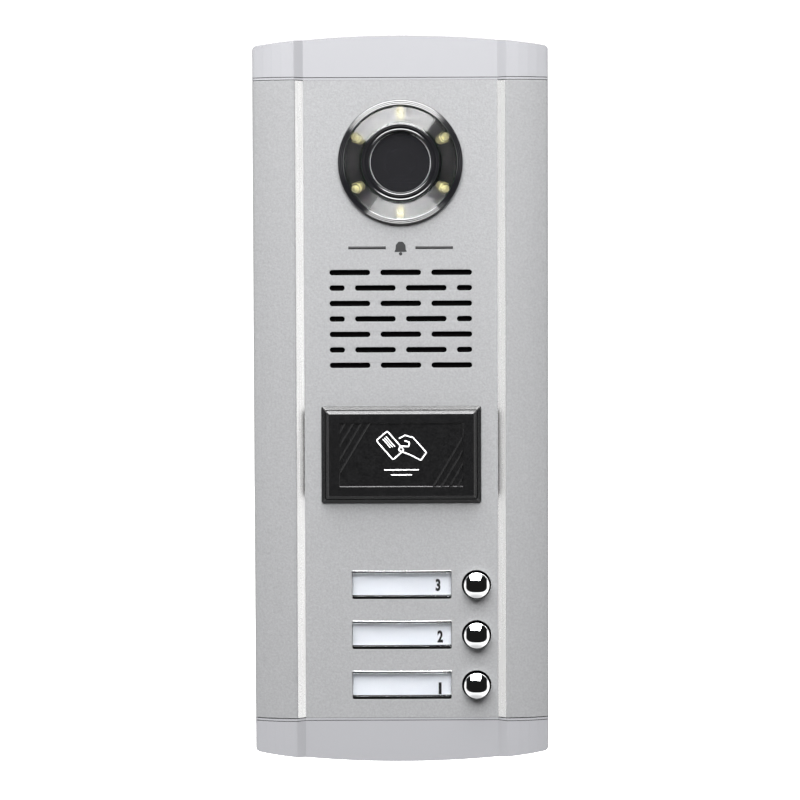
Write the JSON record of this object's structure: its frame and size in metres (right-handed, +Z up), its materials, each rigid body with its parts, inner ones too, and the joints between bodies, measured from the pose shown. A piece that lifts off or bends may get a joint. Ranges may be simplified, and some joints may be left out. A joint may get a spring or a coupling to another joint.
{
  "type": "door intercom panel",
  "caption": "Wall-hung video door intercom panel: arched silver case with a round camera and lamp ring, speaker grille, card reader, and call buttons beside name plates.",
  "frame": {"origin": "centre of the wall bracket's flat back face, on the wall's surface", "axes": "+X to the viewer's right, +Y into the wall, +Z up; the front faces -Y"},
  "size_m": [0.13, 0.0436, 0.32],
  "materials": {
    "anodised_aluminium": "sand-blasted silver anodising with bright-cut chamfers",
    "silver_paint": "smooth silver-painted moulding",
    "black_plastic": "fine satin moulding",
    "zinc_plated_steel": "zinc plate",
    "gloss_black_plastic": "polished",
    "foam_rubber": "closed-cell foam",
    "clear_plastic": "clear moulding",
    "metallised_plastic": "vacuum-metallised",
    "led_resin": "cast epoxy",
    "circuit_board": "solder mask",
    "smoked_window": "smoked, polished",
    "speaker_cloth": "woven acoustic cloth",
    "cone_paper": "pressed pulp",
    "copper": "bare copper",
    "card_paper": "uncoated card",
    "chrome_plate": "mirror polish",
    "blue_plastic": "moulded"
  },
  "bodies": {
    "panel": {"front_panel": "anodised_aluminium", "top_cap": "silver_paint", "bottom_cap": "silver_paint", "rear_cover": "black_plastic", "wall_bracket": "zinc_plated_steel", "security_screw": "zinc_plated_steel", "rear_cover_screw_1": "zinc_plated_steel", "rear_cover_screw_2": "zinc_plated_steel", "rear_cover_screw_3": "zinc_plated_steel", "rear_cover_screw_4": "zinc_plated_steel", "camera_bezel": "gloss_black_plastic", "camera_seal": "foam_rubber", "led_diffuser": "clear_plastic", "led_reflector": "metallised_plastic", "led_1": "led_resin", "led_2": "led_resin", "led_3": "led_resin", "led_4": "led_resin", "led_5": "led_resin", "led_6": "led_resin", "led_board": "circuit_board", "lens_shroud": "black_plastic", "lens_window": "smoked_window", "lens_barrel": "black_plastic", "lens_holder": "black_plastic", "camera_board": "circuit_board", "camera_pod": "black_plastic", "speaker_mesh": "speaker_cloth", "speaker_gasket": "foam_rubber", "speaker_basket": "zinc_plated_steel", "speaker_cone": "cone_paper", "speaker_magnet": "zinc_plated_steel", "microphone_boot": "foam_rubber", "microphone_capsule": "zinc_plated_steel", "reader_frame": "black_plastic", "reader_cover": "black_plastic", "reader_board": "circuit_board", "antenna_coil": "copper", "nameplate_card_1": "card_paper", "button_spring_1": "zinc_plated_steel", "tact_switch_1": "black_plastic", "nameplate_card_2": "card_paper", "button_spring_2": "zinc_plated_steel", "tact_switch_2": "black_plastic", "nameplate_card_3": "card_paper", "button_spring_3": "zinc_plated_steel", "tact_switch_3": "black_plastic", "button_carrier": "black_plastic", "button_board": "circuit_board", "main_board": "circuit_board", "terminal_block": "circuit_board", "volume_trimmer": "blue_plastic", "door_relay": "blue_plastic"},
    "call_button_1": {"call_button_1": "chrome_plate"},
    "nameplate_window_1": {"nameplate_window_1": "clear_plastic"},
    "call_button_2": {"call_button_2": "chrome_plate"},
    "nameplate_window_2": {"nameplate_window_2": "clear_plastic"},
    "call_button_3": {"call_button_3": "chrome_plate"},
    "nameplate_window_3": {"nameplate_window_3": "clear_plastic"},
    "trimmer_rotor": {"trimmer_rotor": "copper"}
  },
  "joints": [
    {"name": "call_button_1_press", "type": "slide", "parent": "panel", "child": "call_button_1", "axis": [0, 1, 0], "range_m": [0, 0.0015], "stiffness_N_per_m": 1300, "springref_m": -0.001, "deforming": ["button_spring_1"]},
    {"name": "call_button_2_press", "type": "slide", "parent": "panel", "child": "call_button_2", "axis": [0, 1, 0], "range_m": [0, 0.0015], "stiffness_N_per_m": 1300, "springref_m": -0.001, "deforming": ["button_spring_2"]},
    {"name": "call_button_3_press", "type": "slide", "parent": "panel", "child": "call_button_3", "axis": [0, 1, 0], "range_m": [0, 0.0015], "stiffness_N_per_m": 1300, "springref_m": -0.001, "deforming": ["button_spring_3"]},
    {"name": "nameplate_window_1_pull", "type": "slide", "parent": "panel", "child": "nameplate_window_1", "axis": [0, -1, 0], "range_m": [0, 0.008]},
    {"name": "nameplate_window_2_pull", "type": "slide", "parent": "panel", "child": "nameplate_window_2", "axis": [0, -1, 0], "range_m": [0, 0.008]},
    {"name": "nameplate_window_3_pull", "type": "slide", "parent": "panel", "child": "nameplate_window_3", "axis": [0, -1, 0], "range_m": [0, 0.008]},
    {"name": "volume_trimmer_turn", "type": "hinge", "parent": "panel", "child": "trimmer_rotor", "pos_m": [0, -0.0082, 0.024], "axis": [0, 1, 0], "range_deg": [-135, 135]}
  ]
}
